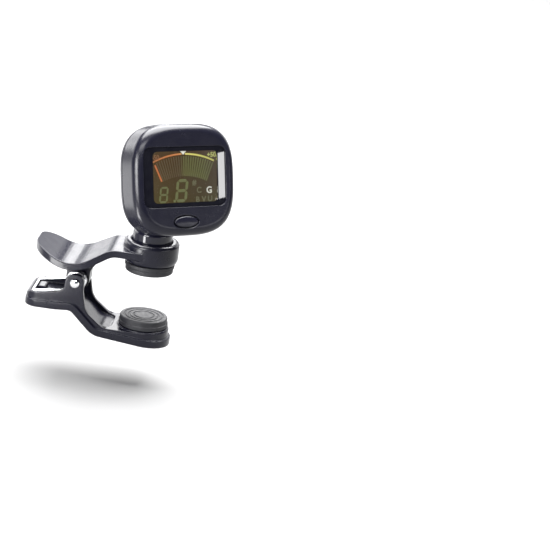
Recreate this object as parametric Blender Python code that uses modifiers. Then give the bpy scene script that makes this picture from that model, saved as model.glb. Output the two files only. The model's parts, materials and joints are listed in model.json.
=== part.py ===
"""Clip-on tuner for stringed instruments.

A rounded-square electronic head hangs in front of a swivelling column.  The column turns in
the collar of a sprung two-lever clip.  The model stands in its gripping pose: the jaws are open
by the thickness of a headstock, the head is turned about the column and leaned back.

Frame: the origin is the centre of the upper rubber pad's gripping face, +X runs from the
handles to the jaws, +Z points out of the headstock.  Sizes are in millimetres and become
metres where a mesh is made.
"""
import math

import bmesh
import bpy
from mathutils import Matrix, Vector

MM = 0.001
GAP = 0.3                     # clearance between pieces that touch
ARC_STEP = math.radians(20)   # longest arc between two points of a rounded corner
MERGE = 0.00001               # metres

# Driving sizes of the clip
JAW_OPENING = 15.7            # headstock thickness between the pads
PIN_X, PIN_Z = -22.9, -5.4    # pivot pin of the two levers
PIN_RADIUS = 1.2
LEVER_THICKNESS = 2.4         # plate of the thumb pad and arm
ARM_TOP = 7.8
COLLAR_RADIUS = 9.15
COLLAR_TOP = 10.67
COLLAR_BOTTOM = 3.4
BORE_RADIUS = 6.85
LUG_HALF_WIDTH = 3.1
EAR_INSIDE, EAR_OUTSIDE = 7.0, 8.7
PAD_RADIUS = 8.25
PAD_THICKNESS = 3.1
BASE_THICKNESS = 2.5
BASE_HALF_WIDTH = 9.5         # base plate of the lower lever
WIRE_RADIUS = 0.5
COIL_RADIUS = 2.8

# Driving sizes of the neck
COLUMN_RADIUS = 6.6
COLUMN_BOTTOM, COLUMN_TOP = 8.0, 14.4
TILT_Z = 19.0                 # height of the tilt axis
HEAD_YAW = math.radians(35.7)
HEAD_TILT = math.radians(16.5)
CHEEK_INSIDE, CHEEK_OUTSIDE = 3.35, 5.4
TONGUE_HALF_WIDTH = 2.6

# Driving sizes of the head, from the centre of its face
FACE_UP, FACE_OUT = 11.85, 20.9   # face centre seen from the tilt axis
HEAD_HALF_WIDTH, HEAD_HALF_HEIGHT = 18.5, 18.0
HEAD_U = 0.5                      # centre of the outline beside the column
HEAD_POWER = 3.15                 # exponent of the superellipse outline
HEAD_DEPTH = 12.0
EDGE_RADIUS = 3.0
PARTING = -9.0
WALL = 1.4
FRONT_WALL = 2.0
WINDOW_V = 1.0                    # centre of the display above the face centre
BUTTON_V = -13.4
CELL_V = 4.0
CELL_RADIUS = 10.0
SCREW_PLACES = ((9.5, 13.6), (-9.5, 13.6), (10.5, -13.0), (-10.5, -13.0))


# ---------------------------------------------------------------- frames
def axes(x_axis, y_axis, z_axis):
    """Rotation whose columns are the given axes."""
    return Matrix((x_axis, y_axis, z_axis)).transposed().to_4x4()


WORLD = Matrix.Identity(4)
SIDE = axes((1, 0, 0), (0, 0, 1), (0, -1, 0))       # outline in X and Z, thickness along Y
COLUMN = Matrix.Rotation(HEAD_YAW, 4, "Z")
ACROSS = axes((0, 1, 0), (0, 0, 1), (1, 0, 0))      # outline in Y and Z, thickness along X
TILT = (COLUMN @ Matrix.Translation((0, 0, TILT_Z * MM))
        @ Matrix.Rotation(math.pi / 2 - HEAD_TILT, 4, "X"))
FACE = TILT @ Matrix.Translation((0, FACE_UP * MM, FACE_OUT * MM))
DOOR = FACE @ Matrix.Translation((0, CELL_V * MM, 0))
BUTTON = FACE @ Matrix.Translation((0, BUTTON_V * MM, 0))


# ---------------------------------------------------------------- outlines
def rounded(corners):
    """Closed outline through (x, y, radius) corners, with an arc at each rounded one."""
    points = []
    for index, (x, y, radius) in enumerate(corners):
        corner = Vector((x, y))
        if not radius:
            points.append(corner)
            continue
        before = (Vector(corners[index - 1][:2]) - corner).normalized()
        after = (Vector(corners[(index + 1) % len(corners)][:2]) - corner).normalized()
        half = before.angle(after) / 2
        centre = corner + (before + after).normalized() * (radius / math.sin(half))
        start = corner + before * (radius / math.tan(half)) - centre
        turn = math.pi - 2 * half
        if before.x * after.y - before.y * after.x > 0:
            turn = -turn
        steps = max(2, math.ceil(abs(turn) / ARC_STEP))
        points += [centre + start @ Matrix.Rotation(-turn * step / steps, 2)
                   for step in range(steps + 1)]
    return points


def band(corners, thickness):
    """Outline of a strip: a path with rounded corners is its upper side."""
    upper = rounded(corners)
    lower = []
    for index, point in enumerate(upper):
        ahead = upper[min(index + 1, len(upper) - 1)] - upper[max(index - 1, 0)]
        lower.append(point + Vector((ahead.y, -ahead.x)).normalized() * thickness)
    return upper + lower[::-1]


def mirrored(half):
    """Closed outline from its upper half, read left to right."""
    return half + [(x, -y, radius) for x, y, radius in reversed(half)]


def rectangle(half_x, half_y, radius=0.0, x=0.0, y=0.0):
    return rounded([(x - half_x, y - half_y, radius), (x + half_x, y - half_y, radius),
                    (x + half_x, y + half_y, radius), (x - half_x, y + half_y, radius)])


def superellipse(half_x, half_y, power, steps):
    points = []
    for step in range(steps):
        angle = 2 * math.pi * step / steps
        cosine, sine = math.cos(angle), math.sin(angle)
        points.append(Vector((math.copysign(half_x * abs(cosine) ** (2 / power), cosine),
                              math.copysign(half_y * abs(sine) ** (2 / power), sine))))
    return points


# ---------------------------------------------------------------- making pieces
def collection(name):
    made = bpy.data.collections.new(name)
    bpy.context.scene.collection.children.link(made)
    return made


def add_object(name, data, frame, smooth=True):
    made = bpy.data.objects.new(name, data)
    made.matrix_world = frame
    PARTS.objects.link(made)
    if smooth and made.type == "MESH":
        made.data.shade_smooth()
        made.data.set_sharp_from_angle(angle=math.radians(35))
    return made


def plate(name, outline, low, high, frame=WORLD, rounding=0.0):
    """Flat outline with its thickness along the frame's Z, its rims rounded if asked."""
    curve = bpy.data.curves.new(name, "CURVE")
    curve.dimensions = "2D"
    curve.fill_mode = "BOTH"
    curve.extrude = ((high - low) / 2 - rounding) * MM
    curve.bevel_depth = rounding * MM
    curve.bevel_resolution = 2
    curve.offset = -rounding * MM
    spline = curve.splines.new("POLY")
    spline.points.add(len(outline) - 1)
    for point, (x, y) in zip(spline.points, outline):
        point.co = (x * MM, y * MM, 0, 1)
    spline.use_cyclic_u = True
    guide = bpy.data.objects.new(name + "_guide", curve)
    bpy.context.scene.collection.objects.link(guide)
    graph = bpy.context.evaluated_depsgraph_get()
    mesh = bpy.data.meshes.new_from_object(guide.evaluated_get(graph))
    bpy.data.objects.remove(guide)
    work = bmesh.new()
    work.from_mesh(mesh)
    bmesh.ops.remove_doubles(work, verts=work.verts, dist=MERGE)
    work.to_mesh(mesh)
    work.free()
    mesh.name = name
    return add_object(name, mesh, frame @ Matrix.Translation((0, 0, (low + high) / 2 * MM)))


def disc(name, radius, low, high, frame=WORLD, place=(0.0, 0.0), steps=32):
    """Cylinder along the frame's Z."""
    mesh = bpy.data.meshes.new(name)
    work = bmesh.new()
    bmesh.ops.create_cone(work, cap_ends=True, segments=steps, radius1=radius * MM,
                          radius2=radius * MM, depth=(high - low) * MM)
    work.to_mesh(mesh)
    work.free()
    middle = Matrix.Translation((place[0] * MM, place[1] * MM, (low + high) / 2 * MM))
    return add_object(name, mesh, frame @ middle)


def block(name, low, high, frame=WORLD):
    """Box between two corners."""
    mesh = bpy.data.meshes.new(name)
    work = bmesh.new()
    size = [(b - a) * MM for a, b in zip(low, high)]
    bmesh.ops.create_cube(work, size=1.0, matrix=Matrix.Diagonal((*size, 1.0)))
    work.to_mesh(mesh)
    work.free()
    middle = Matrix.Translation([(a + b) / 2 * MM for a, b in zip(low, high)])
    return add_object(name, mesh, frame @ middle, smooth=False)


def turned(name, profile, frame=WORLD, steps=32):
    """Turned piece: (radius, height) points that run down its outer side."""
    mesh = bpy.data.meshes.new(name)
    work = bmesh.new()
    points = [work.verts.new((radius * MM, 0, height * MM)) for radius, height in profile]
    for first, second in zip(points, points[1:]):
        work.edges.new((first, second))
    if profile[0][0] > 0:
        work.edges.new((points[-1], points[0]))
    work.to_mesh(mesh)
    work.free()
    made = add_object(name, mesh, frame, smooth=False)
    screw = made.modifiers.new("Turn", "SCREW")
    screw.steps = screw.render_steps = steps
    screw.use_merge_vertices = True
    screw.merge_threshold = MERGE
    screw.use_smooth_shade = True
    return made


def wire(name, path, radius, frame=WORLD):
    """Round wire through the path's points."""
    curve = bpy.data.curves.new(name, "CURVE")
    curve.dimensions = "3D"
    curve.bevel_depth = radius * MM
    curve.bevel_resolution = 2
    curve.use_fill_caps = True
    spline = curve.splines.new("POLY")
    spline.points.add(len(path) - 1)
    for point, place in zip(spline.points, path):
        point.co = (*[value * MM for value in place], 1)
    return add_object(name, curve, frame)


def combine(piece, operation, *others):
    """Boolean with other shapes, which become hidden tools."""
    for other in others:
        PARTS.objects.unlink(other)
        TOOLS.objects.link(other)
        other.display_type = "WIRE"
        other.hide_render = True
        step = piece.modifiers.new(other.name, "BOOLEAN")
        step.operation = operation
        step.object = other
        step.solver = "EXACT"
    return piece


def join(piece, *others):
    return combine(piece, "UNION", *others)


def cut(piece, *others):
    return combine(piece, "DIFFERENCE", *others)


def keep(piece, *others):
    return combine(piece, "INTERSECT", *others)


def finish(piece, look):
    """Give a piece its material."""
    piece.data.materials.clear()
    piece.data.materials.append(look)
    return piece


def material(name, colour, roughness, metallic=0.0):
    made = bpy.data.materials.new(name)
    made.use_nodes = True
    shader = made.node_tree.nodes["Principled BSDF"]
    shader.inputs["Base Color"].default_value = (*colour, 1.0)
    shader.inputs["Roughness"].default_value = roughness
    shader.inputs["Metallic"].default_value = metallic
    return made


def axis_empty(name, frame, parent, children):
    """Empty on a joint's axis that carries the pieces that move with it."""
    empty = bpy.data.objects.new(name, None)
    empty.empty_display_size = 0.005
    PARTS.objects.link(empty)
    empty.matrix_world = frame
    if parent:
        empty.parent = parent
        empty.matrix_parent_inverse = parent.matrix_world.inverted()
    bpy.context.view_layer.update()
    for child in children:
        child.parent = empty
        child.matrix_parent_inverse = empty.matrix_world.inverted()
    return empty


# ---------------------------------------------------------------- clip
def make_upper_lever():
    """Thumb pad, arm, pivot lug and collar in one moulding."""
    path = [(-38.3, 7.0, 0), (-24.5, 0.65, 11.5), (-12.3, 7.95, 8.0), (1.0, ARM_TOP, 0)]
    plan = mirrored([(-37.5, 9.8, 8.2), (-27.0, 11.4, 20.0), (-18.8, 11.4, 14.0),
                     (-11.2, COLLAR_RADIUS, 14.0), (0, COLLAR_RADIUS - 0.1, 0)])
    lever = plate("upper_lever", band(path, LEVER_THICKNESS), -13, 13, SIDE)
    keep(lever, plate("lever_plan", rounded(plan), -8, 16))
    lug = [(PIN_X - 6.4, 1.6, 0), (PIN_X - 3.9, -1.6, 3.0), (PIN_X - 3.9, PIN_Z - 3.9, 3.85),
           (PIN_X + 3.9, PIN_Z - 3.9, 3.85), (PIN_X + 3.9, -2.0, 3.0), (PIN_X + 6.4, 3.0, 0)]
    join(lever, plate("pivot_lug", rounded(lug), -LUG_HALF_WIDTH, LUG_HALF_WIDTH, SIDE))
    collar = [(0, COLLAR_TOP), (8.35, COLLAR_TOP), (8.9, COLLAR_TOP - 0.3),
              (COLLAR_RADIUS, COLLAR_TOP - 0.9), (COLLAR_RADIUS, COLLAR_BOTTOM + 1.5),
              (8.85, COLLAR_BOTTOM + 0.55), (8.3, COLLAR_BOTTOM), (0, COLLAR_BOTTOM)]
    join(lever, turned("collar", collar, steps=48))
    bore = [(0, 14.0), (BORE_RADIUS, 14.0), (BORE_RADIUS, 7.0), (2.3, 7.0), (2.3, 5.6),
            (4.3, 5.6), (4.3, 2.0), (0, 2.0)]
    cut(lever, turned("collar_bore", bore, steps=48),
        disc("lug_bore", PIN_RADIUS + 0.2, -9, 9, SIDE, (PIN_X, PIN_Z), 20),
        disc("tang_bore", WIRE_RADIUS + 0.25, -9, 9, SIDE, coil_point(COIL_START), 12))
    return finish(lever, SATIN)


def make_lower_lever():
    """Channel-shaped handle, two ears and lower jaw in one moulding on a wider base plate."""
    seat = -JAW_OPENING - PAD_THICKNESS - GAP
    side = rounded([(-39.0, -14.4, 2.0), (-29.0, -14.3, 8.0), (-23.2, -13.8, 5.0),
                    (-15.2, -21.4, 5.0), (12.0, -24.0, 0), (12.0, seat - 0.4, 0),
                    (-12.4, seat - 0.4, 5.0), (-18.6, -14.6, 6.0), (PIN_X + 3, -8.0, 2.0),
                    (PIN_X + 3, PIN_Z + 3, 2.8), (PIN_X - 3, PIN_Z + 3, 2.8),
                    (-26.3, -7.9, 2.0), (-28.6, -9.1, 2.5), (-39.0, -10.9, 1.2)])
    base = band([(-42.0, -12.8, 0), (-29.0, -12.7, 8.0), (-22.6, -12.2, 5.0),
                 (-14.5, -19.9, 5.0), (12.0, -22.5, 0)], BASE_THICKNESS)
    lever = plate("lower_lever", side, -12, 12, SIDE)
    inside = rounded([(-37.7, -30, 0), (-10.0, -30, 0), (-10.0, 5, 0), (-37.7, 5, 0)])
    cut(lever, plate("channel", inside, -EAR_INSIDE, EAR_INSIDE, SIDE))
    keep(lever, plate("wall_plan", jaw_plan(EAR_OUTSIDE, -40.0), -30, 5))
    flange = keep(plate("base_plate", base, -14, 14, SIDE),
                  plate("base_plan", jaw_plan(BASE_HALF_WIDTH, -39.3), -30, 5))
    rib = [(-38.0, -14.0, 0), (-33.4, -14.0, 0), (-33.4, -10.0, 0.5), (-35.9, -10.0, 0.5),
           (-35.9, -11.6, 0), (-38.0, -11.6, 0)]
    tray = rounded([(-38.2, -14.0, 0), (-25.0, -14.0, 0), (-27.0, -11.6, 1.5), (-38.2, -11.6, 0)])
    join(lever, flange, plate("tray_floor", tray, -EAR_INSIDE - 0.5, EAR_INSIDE + 0.5, SIDE),
         disc("pad_seat", 8.4, seat - 2.0, seat, steps=48),
         plate("spring_stop", rounded(rib), -2.4, 2.4, SIDE))
    cut(lever, disc("ear_bore", PIN_RADIUS + 0.2, -12, 12, SIDE, (PIN_X, PIN_Z), 20))
    return finish(lever, SATIN)


def jaw_plan(half_width, end):
    """Plan of the lower lever: a rounded handle end and a half-round nose about the pad."""
    nose = [Vector((half_width * math.cos(angle), half_width * math.sin(angle)))
            for angle in (math.radians(90 - 7.5 * step) for step in range(25))]
    handle = rounded([(0, -half_width, 0), (end, -half_width, 4.5), (end, half_width, 4.5),
                      (0, half_width, 0)])
    return nose + handle[1:-1]


def make_pad(name, face, back):
    """Round rubber pad with a narrower gripping side at height face."""
    up = 1 if back > face else -1
    lip = face + up * 1.9
    profile = [(0, back), (PAD_RADIUS, back), (PAD_RADIUS, lip), (PAD_RADIUS - 0.3, lip),
               (PAD_RADIUS - 0.3, face + up * 0.3), (PAD_RADIUS - 0.6, face), (0, face)]
    if up < 0:
        profile.reverse()
    return finish(turned(name, profile, steps=40), RUBBER)


def coil_point(angle, radius=COIL_RADIUS):
    """Point of the spring's coil beside the pivot pin."""
    return (PIN_X + radius * math.cos(angle), PIN_Z + radius * math.sin(angle))


COIL_START = math.radians(100)
COIL_TURN = -math.radians(190 + 2 * 360)


def make_clip_spring():
    """Double torsion spring: two coils on the pin and a cross bar in the handle."""
    inner, outer, steps = 3.95, 6.3, 44
    half = [(*coil_point(COIL_START), 1.8)]
    for step in range(steps + 1):
        share = step / steps
        point = coil_point(COIL_START + COIL_TURN * share)
        half.append((*point, inner + (outer - inner) * share))
    bar_x, bar_z = -36.9, -10.75
    half += [(bar_x + 1.2, bar_z + 0.2, outer), (bar_x + 0.3, bar_z, outer - 0.3),
             (bar_x, bar_z, outer - 1.1)]
    path = [(x, y, z) for x, z, y in half] + [(x, -y, z) for x, z, y in reversed(half)]
    return finish(wire("clip_spring", path, WIRE_RADIUS), SPRING_STEEL)


def make_pin():
    """Pivot pin with a domed head, and the cap that is pushed on its far end."""
    frame = Matrix.Translation((PIN_X * MM, 0, PIN_Z * MM)) @ SIDE
    head = EAR_OUTSIDE + 0.2
    profile = [(0, head + 0.85), (0.7, head + 0.75), (1.25, head + 0.45), (1.6, head),
               (PIN_RADIUS, head), (PIN_RADIUS, -head - 0.9), (0, -head - 0.9)]
    cap = [(1.9, -head), (1.9, -head - 0.5), (1.5, -head - 0.8), (1.35, -head - 0.8),
           (1.35, -head)]
    return [finish(turned("pivot_pin", profile, frame, 20), CHROME),
            finish(turned("pin_retainer", cap, frame, 20), STEEL)]


# ---------------------------------------------------------------- neck
def make_column():
    """Post that turns in the collar, with the fork of the tilt hinge on top."""
    profile = [(0, COLUMN_TOP), (COLUMN_RADIUS - 0.8, COLUMN_TOP),
               (COLUMN_RADIUS - 0.2, COLUMN_TOP - 0.3), (COLUMN_RADIUS, COLUMN_TOP - 0.9),
               (COLUMN_RADIUS, COLUMN_BOTTOM), (2.0, COLUMN_BOTTOM), (2.0, 5.45), (0, 5.45)]
    column = turned("swivel_column", profile, COLUMN, 48)
    top = CHEEK_OUTSIDE - 1.8
    cheek = rounded([(-top, COLUMN_TOP - 1.5, 0), (top, COLUMN_TOP - 1.5, 0),
                     (top, TILT_Z + top, top - 0.02), (-top, TILT_Z + top, top - 0.02)])
    join(column, plate("cheeks", cheek, -CHEEK_OUTSIDE, CHEEK_OUTSIDE, COLUMN @ ACROSS))
    cut(column, block("fork_slot", (-CHEEK_INSIDE, -9, COLUMN_TOP),
                      (CHEEK_INSIDE, 9, TILT_Z + 8), COLUMN),
        disc("fork_bore", 1.4, -9, 9, COLUMN @ ACROSS, (0, TILT_Z), 16),
        disc("column_thread", 1.15, 4, 12, COLUMN, steps=16))
    return finish(column, GLOSS)


def make_swivel_fasteners():
    """Screw, washer and wave spring that hold the column in the collar."""
    screw = [(0, 11.2), (0.95, 11.0), (0.95, 4.5), (1.9, 4.5), (1.9, 3.9), (1.4, 3.6), (0, 3.6)]
    washer = [(3.8, 5.25), (3.8, 4.75), (1.2, 4.75), (1.2, 5.25)]
    spring = [(5.6, 7.75), (5.6, 7.25), (4.2, 7.25), (4.2, 7.75)]
    return [finish(turned("swivel_screw", screw, COLUMN, 16), STEEL),
            finish(turned("swivel_washer", washer, COLUMN, 24), STEEL),
            finish(turned("wave_spring", spring, COLUMN, 32), SPRING_STEEL)]


def make_tilt_fasteners():
    """Screw, nut and two friction washers of the tilt hinge."""
    frame = COLUMN @ Matrix.Translation((0, 0, TILT_Z * MM)) @ ACROSS
    head = CHEEK_OUTSIDE + GAP
    screw = [(0, head + 1.7), (1.2, head + 1.7), (1.2, -head), (2.3, -head),
             (2.3, -head - 0.8), (1.7, -head - 1.2), (0, -head - 1.2)]
    nut = disc("tilt_nut", 2.3, head, head + 1.4, frame, steps=6)
    cut(nut, disc("nut_thread", 1.35, head - 1, head + 3, frame, steps=16))
    made = [finish(turned("tilt_screw", screw, frame, 20), STEEL), finish(nut, STEEL)]
    for number, side in ((1, 1), (2, -1)):
        high, low = sorted((side * (TONGUE_HALF_WIDTH + 0.6), side * (TONGUE_HALF_WIDTH + 0.15)),
                           reverse=True)
        ring = [(3.2, high), (3.2, low), (1.4, low), (1.4, high)]
        made.append(finish(turned(f"tilt_washer_{number}", ring, frame, 24), NYLON))
    return made


# ---------------------------------------------------------------- head
def head_outline(inset=0.0):
    outline = superellipse(HEAD_HALF_WIDTH - inset, HEAD_HALF_HEIGHT - inset, HEAD_POWER, 52)
    return [Vector((point.x + HEAD_U, point.y)) for point in outline]


def make_front_shell():
    """Front casing with the lens recess, the display window and the button hole."""
    shell = plate("front_shell", head_outline(), -HEAD_DEPTH, 0, FACE, EDGE_RADIUS)
    cut(shell, block("behind_parting", (-25, -25, -20), (25, 25, PARTING), FACE),
        plate("front_hollow", head_outline(WALL), -20, -FRONT_WALL, FACE))
    for number, place in enumerate(SCREW_PLACES, 1):
        join(shell, disc(f"screw_post_{number}", 1.8, PARTING - 0.2, -FRONT_WALL + 0.5,
                         FACE, place, 16))
    cut(shell, plate("lens_recess", rectangle(15.1, 9.7, 2.5, 0, WINDOW_V), -1.0, 2, FACE),
        plate("window", rectangle(12.6, 8.9, 1.6, 0, WINDOW_V), -5, 2, FACE),
        plate("button_hole", superellipse(4.65, 2.15, 2.0, 28), -5, 2, BUTTON))
    for number, place in enumerate(SCREW_PLACES, 1):
        cut(shell, disc(f"pilot_hole_{number}", 1.0, -12, -3.2, FACE, place, 12))
    return finish(shell, SATIN)


def make_rear_shell():
    """Back casing with the battery opening and the tongue of the tilt hinge."""
    shell = plate("rear_shell", head_outline(), -HEAD_DEPTH, 0, FACE, EDGE_RADIUS)
    inner = -HEAD_DEPTH + WALL
    cut(shell, block("before_parting", (-25, -25, PARTING - 0.25), (25, 25, 5), FACE),
        plate("rear_hollow", head_outline(WALL), inner, 5, FACE))
    for number, place in enumerate(SCREW_PLACES, 1):
        join(shell, disc(f"screw_boss_{number}", 2.3, -HEAD_DEPTH + 0.3, PARTING - 0.5,
                         FACE, place, 16))
    rear = FACE_OUT - HEAD_DEPTH
    tongue = rounded([(-3.4, -3.4, 3.1), (-3.0, 2.6, 3.0), (-4.6, rear + 0.6, 0),
                      (4.6, rear + 0.6, 0), (3.0, 2.6, 3.0), (3.4, -3.4, 3.1)])
    join(shell, plate("hinge_tongue", tongue, -TONGUE_HALF_WIDTH, TONGUE_HALF_WIDTH,
                      TILT @ ACROSS))
    cut(shell, disc("battery_opening", 11.0, -20, -5, DOOR, steps=40),
        disc("tongue_bore", 1.4, -9, 9, TILT @ ACROSS, steps=16))
    for number, place in enumerate(SCREW_PLACES, 1):
        cut(shell, disc(f"screw_recess_{number}", 1.7, -20, -10.9, FACE, place, 16),
            disc(f"screw_clear_{number}", 1.05, -20, -5, FACE, place, 12))
    return finish(shell, SATIN)


def make_display():
    """Lens, LCD, its frame, its light guide and the rubber connector below it."""
    lens = plate("display_lens", rectangle(14.8, 9.4, 2.2, 0, WINDOW_V), -0.8, 0, FACE)
    frame = plate("lcd_frame", rectangle(14.0, 10.5, 1.0, 0, WINDOW_V), -4.9, -2.3, FACE)
    cut(frame, plate("lcd_pocket", rectangle(13.3, 9.8, 0.5, 0, WINDOW_V), -6, 0, FACE))
    glass = plate("lcd_glass", rectangle(13.0, 9.5, 0.3, 0, WINDOW_V), -3.6, -2.3, FACE)
    light = plate("backlight_panel", rectangle(13.0, 8.3, 0.3, 0, 2.2), -4.9, -3.9, FACE)
    zebra = block("zebra_strip", (-11.5, -8.4, -4.95), (11.5, -6.8, -3.85), FACE)
    return [finish(lens, LENS), finish(frame, DARK_PLASTIC), finish(glass, LCD),
            finish(light, ACRYLIC), finish(zebra, RUBBER)]


def make_electronics():
    """Board, chip, switch, vibration sensor and its lead."""
    outline = rounded([(-14.2, -10.8, 1), (-7.0, -10.8, 0), (-7.0, -15.4, 1),
                       (7.0, -15.4, 1), (7.0, -10.8, 0), (14.2, -10.8, 1),
                       (14.2, 11.4, 2.5), (-14.2, 11.4, 2.5)])
    board = plate("circuit_board", outline, -6.1, -5.2, FACE)
    chip = block("controller_chip", (-13.2, -10.6, -7.3), (-8.4, -5.9, -6.3), FACE)
    switch = block("tact_switch", (-2.4, -1.8, -5.0), (2.4, 1.8, -4.1), BUTTON)
    join(switch, disc("switch_plunger", 1.0, -4.6, -3.5, BUTTON, steps=16))
    below = FACE @ Matrix.Translation((0, -10.8 * MM, 0))
    piezo = [(0, -9.8), (2.4, -9.8), (2.4, -10.0), (3.6, -10.0), (3.6, -10.35), (0, -10.35)]
    lead = [(1.0, -10.8, -9.35), (1.1, -10.7, -8.8), (1.6, -10.3, -8.2), (2.4, -9.8, -7.8),
            (3.0, -9.4, -7.3), (3.2, -9.2, -6.5)]
    return [finish(board, BOARD), finish(chip, DARK_PLASTIC), finish(switch, DARK_PLASTIC),
            finish(turned("piezo_sensor", piezo, below, 28), BRASS),
            finish(wire("sensor_lead", lead, 0.3, FACE), RED)]


def make_battery():
    """Coin cell and its two contacts."""
    cell = [(0, -7.2), (8.6, -7.2), (8.8, -7.8), (CELL_RADIUS, -7.9),
            (CELL_RADIUS, -10.35), (0, -10.35)]
    leaf = band([(-3.5, -6.75, 0), (0.5, -6.75, 1.0), (5.0, -6.5, 1.0), (8.5, -6.3, 0)], 0.25)
    blade = band([(13.4, -6.35, 0), (10.75, -6.35, 0.5), (10.75, -9.3, 0)], -0.35)
    return [finish(turned("coin_cell", cell, DOOR, 40), STEEL),
            finish(plate("battery_spring_contact", leaf, -2, 2, FACE @ ACROSS), BRASS),
            finish(plate("battery_side_contact", blade, -6, -2,
                         FACE @ axes((1, 0, 0), (0, 0, 1), (0, -1, 0))), BRASS)]


def make_battery_door():
    """Round door with a coin slot and two bayonet tabs."""
    door = disc("battery_door", 10.7, -HEAD_DEPTH, -HEAD_DEPTH + 1.2, DOOR, steps=40)
    for number, side in ((1, 1), (2, -1)):
        inner, outer = sorted((side * 10.2, side * 11.7))
        tab = block(f"door_tab_{number}", (inner, -1.4, -10.35), (outer, 1.4, -9.75), DOOR)
        inner, outer = sorted((side * 10.2, side * 10.65))
        join(door, block(f"door_riser_{number}", (inner, -1.4, -11.2),
                         (outer, 1.4, -9.8), DOOR), tab)
    cut(door, block("coin_slot", (-4.5, -0.8, -15), (4.5, 0.8, -HEAD_DEPTH + 0.6), DOOR))
    return finish(door, SATIN)


def make_button():
    """Oval push button with a retaining flange behind the casing."""
    button = plate("power_button", superellipse(4.3, 1.8, 2.0, 28), -2.6, 0.3, BUTTON)
    join(button, plate("button_flange", superellipse(5.1, 2.6, 2.0, 28), -2.9, -2.3, BUTTON))
    return finish(button, SATIN)


def make_shell_screws():
    """Four self-tapping screws that join the casings."""
    made = []
    for number, (u, v) in enumerate(SCREW_PLACES, 1):
        frame = FACE @ Matrix.Translation((u * MM, v * MM, 0))
        profile = [(0, -3.9), (0.5, -4.2), (0.8, -4.8), (0.8, -11.1), (1.4, -11.1),
                   (1.4, -11.7), (1.0, -11.95), (0, -11.95)]
        made.append(finish(turned(f"shell_screw_{number}", profile, frame, 12), STEEL))
    return made


# ---------------------------------------------------------------- assembly
for old in list(bpy.data.objects):
    bpy.data.objects.remove(old)
PARTS = collection("clip_on_tuner")
TOOLS = collection("cutters")

SATIN = material("satin_black_plastic", (0.020, 0.020, 0.026), 0.32)
GLOSS = material("gloss_black_plastic", (0.015, 0.015, 0.020), 0.12)
DARK_PLASTIC = material("moulded_black_plastic", (0.03, 0.03, 0.03), 0.5)
RUBBER = material("black_rubber", (0.012, 0.012, 0.012), 0.8)
CHROME = material("chrome", (0.82, 0.82, 0.84), 0.08, 1.0)
STEEL = material("plated_steel", (0.62, 0.62, 0.64), 0.3, 1.0)
SPRING_STEEL = material("spring_steel", (0.55, 0.55, 0.57), 0.22, 1.0)
BRASS = material("brass", (0.75, 0.58, 0.28), 0.3, 1.0)
NYLON = material("nylon", (0.75, 0.74, 0.70), 0.5)
LENS = material("tinted_lens", (0.03, 0.03, 0.03), 0.03)
LCD = material("lcd", (0.10, 0.08, 0.04), 0.1)
ACRYLIC = material("light_guide", (0.85, 0.85, 0.80), 0.2)
BOARD = material("circuit_board", (0.02, 0.16, 0.06), 0.4)
RED = material("red_insulation", (0.55, 0.03, 0.02), 0.5)

clip = [make_upper_lever(), make_pad("upper_pad", 0.0, PAD_THICKNESS), *make_pin()]
jaw = [make_lower_lever(), make_clip_spring(),
       make_pad("lower_pad", -JAW_OPENING, -JAW_OPENING - PAD_THICKNESS)]
neck = [make_column(), *make_swivel_fasteners(), *make_tilt_fasteners()]
head = [make_front_shell(), make_rear_shell(), *make_display(), *make_electronics(),
        *make_battery(), *make_shell_screws()]

grip = axis_empty("grip_centre", WORLD, None, clip)
axis_empty("jaw_axis", Matrix.Translation((PIN_X * MM, 0, PIN_Z * MM)), grip, jaw)
swivel = axis_empty("swivel_axis", COLUMN, grip, neck)
tilt = axis_empty("tilt_axis", TILT, swivel, head)
axis_empty("button_axis", BUTTON, tilt, [make_button()])
axis_empty("door_axis", DOOR, tilt, [make_battery_door()])
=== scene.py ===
"""Looks of the clip-on tuner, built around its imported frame. Sizes are in millimetres."""

import json
import math

import bmesh
import bpy
from mathutils import Matrix, Vector


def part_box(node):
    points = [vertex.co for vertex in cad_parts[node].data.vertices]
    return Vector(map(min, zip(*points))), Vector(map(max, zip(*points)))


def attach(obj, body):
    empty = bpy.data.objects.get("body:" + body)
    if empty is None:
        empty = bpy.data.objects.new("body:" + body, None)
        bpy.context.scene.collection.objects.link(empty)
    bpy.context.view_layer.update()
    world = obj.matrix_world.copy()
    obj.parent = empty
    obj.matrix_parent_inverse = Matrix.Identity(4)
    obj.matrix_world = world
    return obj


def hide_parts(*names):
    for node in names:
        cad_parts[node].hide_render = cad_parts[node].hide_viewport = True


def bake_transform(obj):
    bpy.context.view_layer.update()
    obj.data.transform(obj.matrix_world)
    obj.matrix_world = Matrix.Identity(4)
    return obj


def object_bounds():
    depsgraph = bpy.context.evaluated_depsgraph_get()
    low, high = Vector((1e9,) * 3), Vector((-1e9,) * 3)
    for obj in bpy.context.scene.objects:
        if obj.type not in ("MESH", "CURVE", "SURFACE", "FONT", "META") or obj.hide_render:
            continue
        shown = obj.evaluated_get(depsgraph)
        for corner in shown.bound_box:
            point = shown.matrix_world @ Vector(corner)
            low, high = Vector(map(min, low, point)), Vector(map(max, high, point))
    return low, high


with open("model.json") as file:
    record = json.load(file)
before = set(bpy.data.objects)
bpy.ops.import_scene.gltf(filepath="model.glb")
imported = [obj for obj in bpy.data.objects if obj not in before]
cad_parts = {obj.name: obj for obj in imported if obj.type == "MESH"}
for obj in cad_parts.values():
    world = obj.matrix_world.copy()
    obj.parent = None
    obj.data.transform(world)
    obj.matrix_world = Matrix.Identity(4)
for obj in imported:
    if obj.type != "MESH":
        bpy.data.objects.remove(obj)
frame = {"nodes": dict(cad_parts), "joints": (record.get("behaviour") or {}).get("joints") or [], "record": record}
CAD_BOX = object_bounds()

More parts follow.
